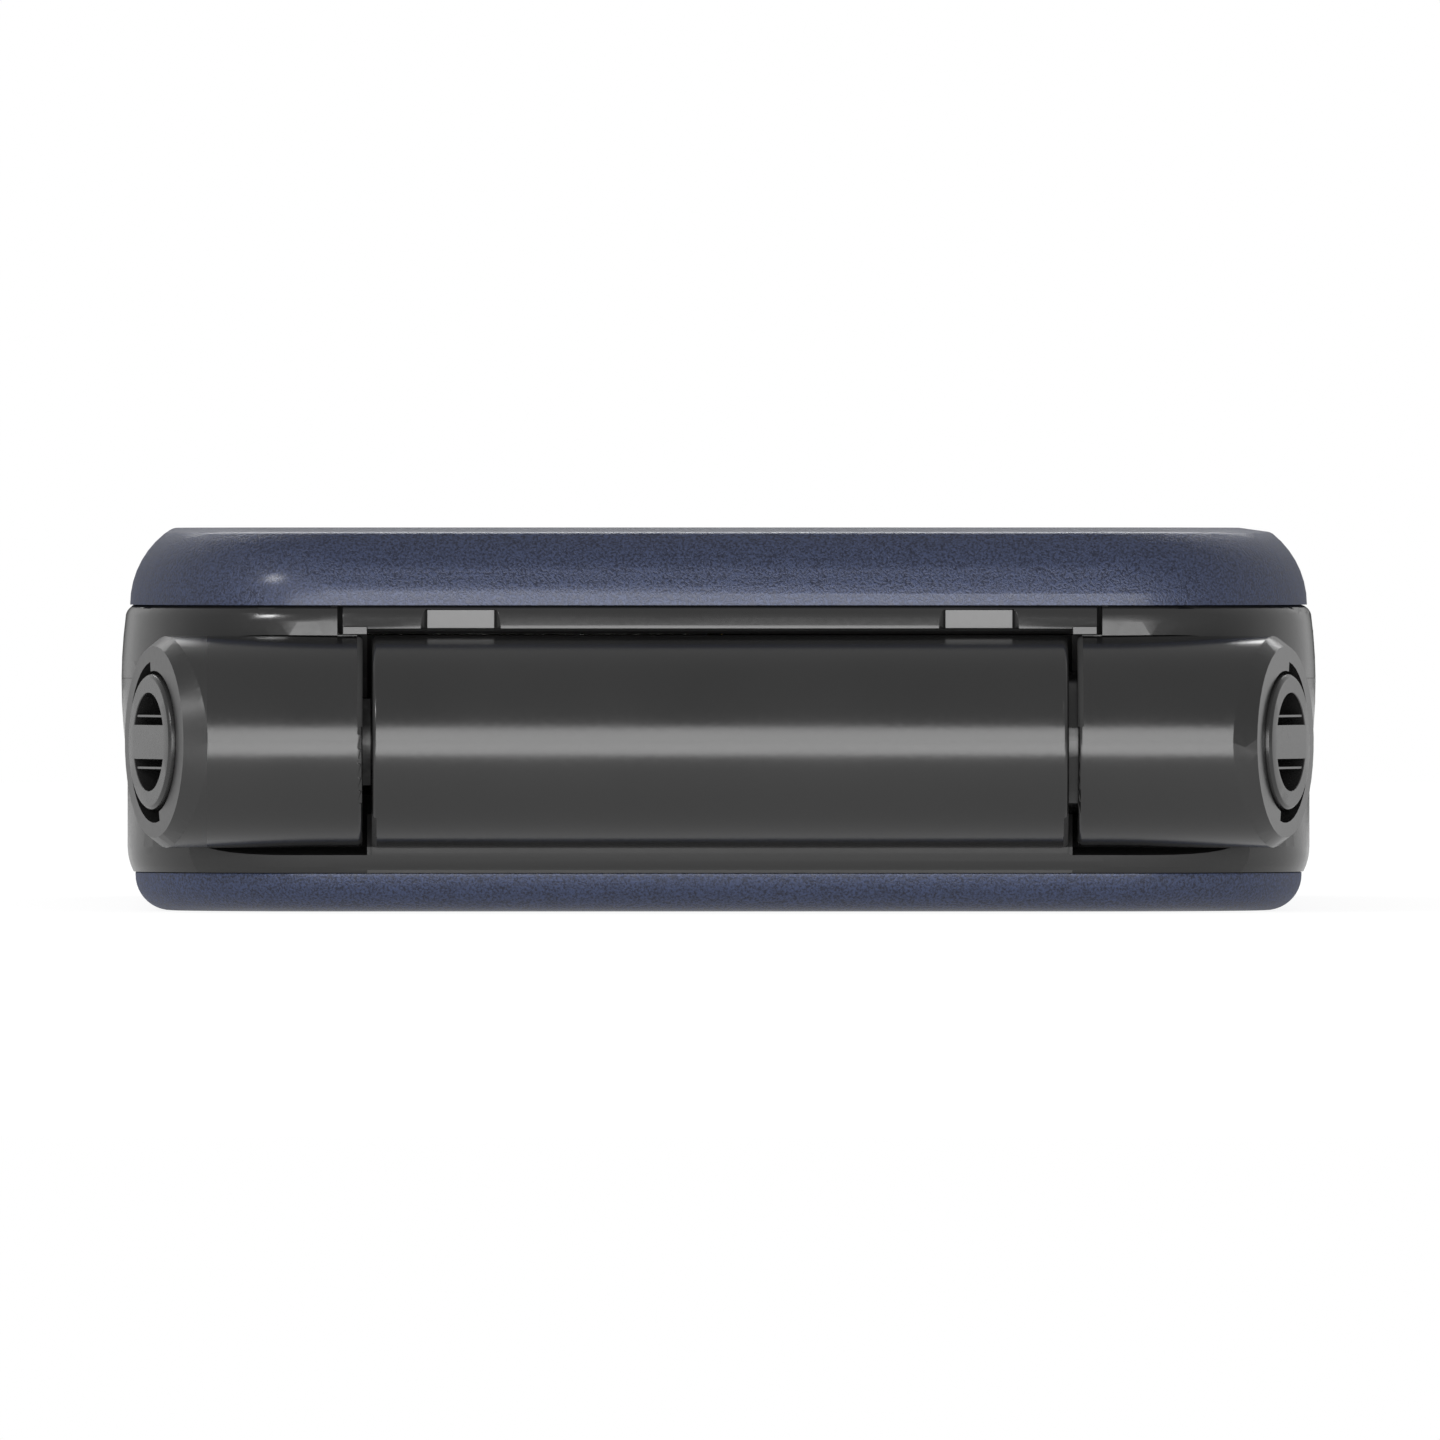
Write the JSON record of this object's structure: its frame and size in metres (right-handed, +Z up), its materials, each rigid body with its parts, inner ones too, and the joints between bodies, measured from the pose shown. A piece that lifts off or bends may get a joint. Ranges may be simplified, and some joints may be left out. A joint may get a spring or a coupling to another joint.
{
  "type": "flip phone",
  "caption": "Closed clamshell phone with a centre-barrel hinge between two knuckles, a sprung keypad inside, two displays, a deep battery cover and strap eyelets in the hinge ends.",
  "frame": {"origin": "middle of the closed phone's footprint, on the surface it lies on", "axes": "+X along the hinge to the right as seen from the hinge end, +Y from the hinge end to the far end, +Z up from the lid's outer face to the battery cover"},
  "size_m": [0.0557, 0.107, 0.0176],
  "materials": {
    "blue_paint": "satin metallic fleck paint",
    "dark_plastic": "satin moulded",
    "cap_plastic": "satin moulded",
    "black_plastic": "matte",
    "key_plastic": "satin",
    "ring_metal": "satin",
    "window_glass": "clear, black printed behind",
    "lens_glass": "polished",
    "diffuser": "frosted",
    "display_panel": "smooth",
    "bright_metal": "polished",
    "sheet_steel": "stamped",
    "hinge_steel": "black oxide",
    "screw_steel": "machined",
    "mesh_metal": "woven",
    "circuit_board": "solder mask",
    "soft_rubber": "matte",
    "grey_pad": "matte",
    "battery_wrap": "wrapped",
    "gold_contact": "plated",
    "film": "film"
  },
  "bodies": {
    "lid": {"lid_cover": "blue_paint", "outer_window": "window_glass", "outer_display": "display_panel", "camera_ring": "bright_metal", "camera_lens": "lens_glass", "camera_module": "black_plastic", "flash_lens": "diffuser", "lid_housing": "dark_plastic", "main_window": "window_glass", "main_display": "display_panel", "display_plate": "sheet_steel", "lid_board": "circuit_board", "earpiece": "sheet_steel", "earpiece_mesh": "mesh_metal", "lid_bumpers": "soft_rubber", "lid_screws": "screw_steel", "lid_magnet": "screw_steel", "hinge_can": "hinge_steel"},
    "keypad_half": {"battery_cover": "blue_paint", "rear_housing": "dark_plastic", "front_housing": "dark_plastic", "hinge_strip": "dark_plastic", "strip_pads": "grey_pad", "hinge_cap_left": "cap_plastic", "hinge_cap_right": "cap_plastic", "hinge_shaft": "hinge_steel", "hinge_bush": "dark_plastic", "battery": "battery_wrap", "battery_contacts": "gold_contact", "main_board": "circuit_board", "shield_can": "sheet_steel", "dome_sheet": "film", "usb_connector": "sheet_steel", "headphone_jack": "black_plastic", "loudspeaker": "black_plastic", "speaker_mesh": "mesh_metal", "microphone": "sheet_steel", "vibration_motor": "sheet_steel", "sim_socket": "sheet_steel", "body_screws": "screw_steel"},
    "volume_key": {"volume_key": "dark_plastic"},
    "key_1": {"key_1": "key_plastic"},
    "key_2": {"key_2": "key_plastic"},
    "key_3": {"key_3": "key_plastic"},
    "key_4": {"key_4": "key_plastic"},
    "key_5": {"key_5": "key_plastic"},
    "key_6": {"key_6": "key_plastic"},
    "key_7": {"key_7": "key_plastic"},
    "key_8": {"key_8": "key_plastic"},
    "key_9": {"key_9": "key_plastic"},
    "key_star": {"key_star": "key_plastic"},
    "key_0": {"key_0": "key_plastic"},
    "key_hash": {"key_hash": "key_plastic"},
    "key_send": {"key_send": "key_plastic"},
    "key_clear": {"key_clear": "key_plastic"},
    "key_end": {"key_end": "key_plastic"},
    "key_soft_left": {"key_soft_left": "key_plastic"},
    "key_soft_right": {"key_soft_right": "key_plastic"},
    "key_nav": {"key_nav": "ring_metal"},
    "key_ok": {"key_ok": "key_plastic"}
  },
  "joints": [
    {"name": "lid_hinge", "type": "hinge", "parent": "lid", "child": "keypad_half", "pos_m": [0, -0.0486, 0.00787], "axis": [1, 0, 0], "range_deg": [0, 150]},
    {"name": "volume_key_press", "type": "slide", "parent": "keypad_half", "child": "volume_key", "axis": [-1, 0, 0], "range_m": [0, 0.0003], "stiffness_N_per_m": 3000, "springref_m": -0.0002},
    {"name": "key_1_press", "type": "slide", "parent": "keypad_half", "child": "key_1", "axis": [0, 0, 1], "range_m": [0, 0.00025], "stiffness_N_per_m": 3000, "springref_m": -0.0002},
    {"name": "key_2_press", "type": "slide", "parent": "keypad_half", "child": "key_2", "axis": [0, 0, 1], "range_m": [0, 0.00025], "stiffness_N_per_m": 3000, "springref_m": -0.0002},
    {"name": "key_3_press", "type": "slide", "parent": "keypad_half", "child": "key_3", "axis": [0, 0, 1], "range_m": [0, 0.00025], "stiffness_N_per_m": 3000, "springref_m": -0.0002},
    {"name": "key_4_press", "type": "slide", "parent": "keypad_half", "child": "key_4", "axis": [0, 0, 1], "range_m": [0, 0.00025], "stiffness_N_per_m": 3000, "springref_m": -0.0002},
    {"name": "key_5_press", "type": "slide", "parent": "keypad_half", "child": "key_5", "axis": [0, 0, 1], "range_m": [0, 0.00025], "stiffness_N_per_m": 3000, "springref_m": -0.0002},
    {"name": "key_6_press", "type": "slide", "parent": "keypad_half", "child": "key_6", "axis": [0, 0, 1], "range_m": [0, 0.00025], "stiffness_N_per_m": 3000, "springref_m": -0.0002},
    {"name": "key_7_press", "type": "slide", "parent": "keypad_half", "child": "key_7", "axis": [0, 0, 1], "range_m": [0, 0.00025], "stiffness_N_per_m": 3000, "springref_m": -0.0002},
    {"name": "key_8_press", "type": "slide", "parent": "keypad_half", "child": "key_8", "axis": [0, 0, 1], "range_m": [0, 0.00025], "stiffness_N_per_m": 3000, "springref_m": -0.0002},
    {"name": "key_9_press", "type": "slide", "parent": "keypad_half", "child": "key_9", "axis": [0, 0, 1], "range_m": [0, 0.00025], "stiffness_N_per_m": 3000, "springref_m": -0.0002},
    {"name": "key_star_press", "type": "slide", "parent": "keypad_half", "child": "key_star", "axis": [0, 0, 1], "range_m": [0, 0.00025], "stiffness_N_per_m": 3000, "springref_m": -0.0002},
    {"name": "key_0_press", "type": "slide", "parent": "keypad_half", "child": "key_0", "axis": [0, 0, 1], "range_m": [0, 0.00025], "stiffness_N_per_m": 3000, "springref_m": -0.0002},
    {"name": "key_hash_press", "type": "slide", "parent": "keypad_half", "child": "key_hash", "axis": [0, 0, 1], "range_m": [0, 0.00025], "stiffness_N_per_m": 3000, "springref_m": -0.0002},
    {"name": "key_send_press", "type": "slide", "parent": "keypad_half", "child": "key_send", "axis": [0, 0, 1], "range_m": [0, 0.00025], "stiffness_N_per_m": 3000, "springref_m": -0.0002},
    {"name": "key_clear_press", "type": "slide", "parent": "keypad_half", "child": "key_clear", "axis": [0, 0, 1], "range_m": [0, 0.00025], "stiffness_N_per_m": 3000, "springref_m": -0.0002},
    {"name": "key_end_press", "type": "slide", "parent": "keypad_half", "child": "key_end", "axis": [0, 0, 1], "range_m": [0, 0.00025], "stiffness_N_per_m": 3000, "springref_m": -0.0002},
    {"name": "key_soft_left_press", "type": "slide", "parent": "keypad_half", "child": "key_soft_left", "axis": [0, 0, 1], "range_m": [0, 0.00025], "stiffness_N_per_m": 3000, "springref_m": -0.0002},
    {"name": "key_soft_right_press", "type": "slide", "parent": "keypad_half", "child": "key_soft_right", "axis": [0, 0, 1], "range_m": [0, 0.00025], "stiffness_N_per_m": 3000, "springref_m": -0.0002},
    {"name": "key_nav_press", "type": "slide", "parent": "keypad_half", "child": "key_nav", "axis": [0, 0, 1], "range_m": [0, 0.00025], "stiffness_N_per_m": 3000, "springref_m": -0.0002},
    {"name": "key_ok_press", "type": "slide", "parent": "keypad_half", "child": "key_ok", "axis": [0, 0, 1], "range_m": [0, 0.00025], "stiffness_N_per_m": 3000, "springref_m": -0.0002}
  ]
}
